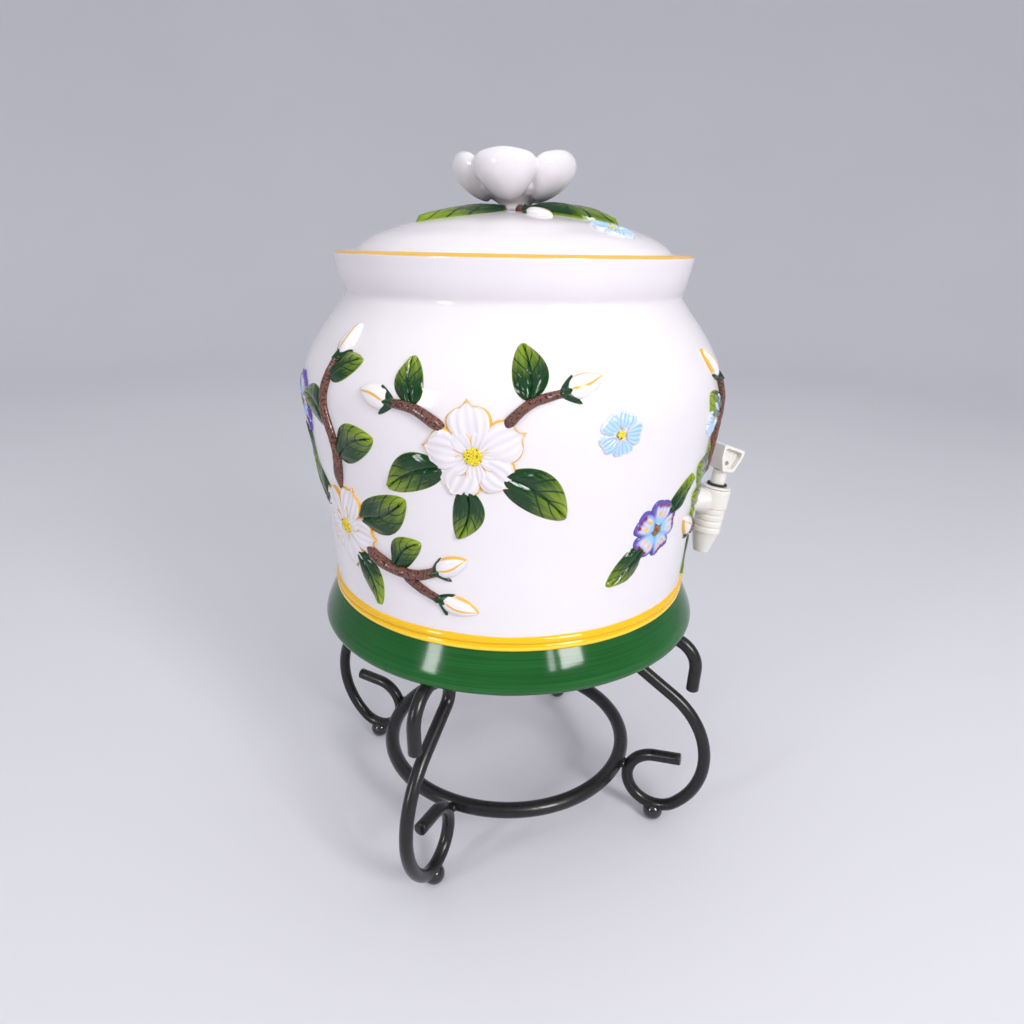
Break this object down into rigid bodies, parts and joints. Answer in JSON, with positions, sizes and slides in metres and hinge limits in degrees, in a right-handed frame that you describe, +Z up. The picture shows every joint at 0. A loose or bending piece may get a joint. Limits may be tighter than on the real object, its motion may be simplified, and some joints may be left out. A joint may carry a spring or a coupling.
{
  "type": "clay water pot with tap",
  "caption": "Lidded glazed ceramic drink crock with moulded blossoms and a push-lever tap, resting on a scrolled rod stand with ball feet.",
  "frame": {"origin": "middle of the bounding box on the floor that the ball feet stand on; the crock's own axis is at x = 0, y = 0.0248", "axes": "+Z up, the tap points to -Y, +X to the right of someone who faces the tap's back"},
  "size_m": [0.2547, 0.3042, 0.4217],
  "materials": {
    "stand_paint": "glossy dark graphite paint on round steel rod",
    "foot_gloss": "glossy black balls",
    "crock_glaze": "glossy white glaze with a yellow beaded band and a green foot band",
    "lid_glaze": "glossy white glaze",
    "washer_rubber": "matt black",
    "tap_plastic": "satin off-white",
    "spring_steel": "bright wire"
  },
  "bodies": {
    "stand": {"lower_ring": "stand_paint", "upper_ring": "stand_paint", "leg_1": "stand_paint", "leg_2": "stand_paint", "leg_3": "stand_paint", "leg_4": "stand_paint", "foot_1": "foot_gloss", "foot_2": "foot_gloss", "foot_3": "foot_gloss", "foot_4": "foot_gloss"},
    "pot": {"crock": "crock_glaze", "outer_washer": "washer_rubber", "inner_washer": "washer_rubber", "lock_nut": "tap_plastic", "tap_body": "tap_plastic", "tap_cap": "tap_plastic", "neck_ring": "washer_rubber", "tap_spring": "spring_steel"},
    "cover": {"lid": "lid_glaze"},
    "valve": {"tap_stem": "tap_plastic", "seat_washer": "washer_rubber"},
    "handle": {"lever": "tap_plastic", "lever_pin": "spring_steel"}
  },
  "joints": [
    {"name": "crock_lift", "type": "slide", "parent": "stand", "child": "pot", "axis": [0, 0, 1], "range_m": [0, 0.1]},
    {"name": "lid_lift", "type": "slide", "parent": "pot", "child": "cover", "axis": [0, 0, 1], "range_m": [0, 0.1]},
    {"name": "stem_lift", "type": "slide", "parent": "pot", "child": "valve", "axis": [0, -0.1599, 0.9871], "range_m": [0, 0.00315], "deforming": ["tap_spring"]},
    {"name": "lever_press", "type": "hinge", "parent": "valve", "child": "handle", "pos_m": [0, -0.14052, 0.22714], "axis": [1, 0, 0], "range_deg": [0, 40], "stiffness_Nm_per_rad": 0.006, "springref_deg": -50.94}
  ],
  "couplings": [
    {"joint": "stem_lift", "follows": "lever_press", "m_per_rad": 0.0045}
  ]
}
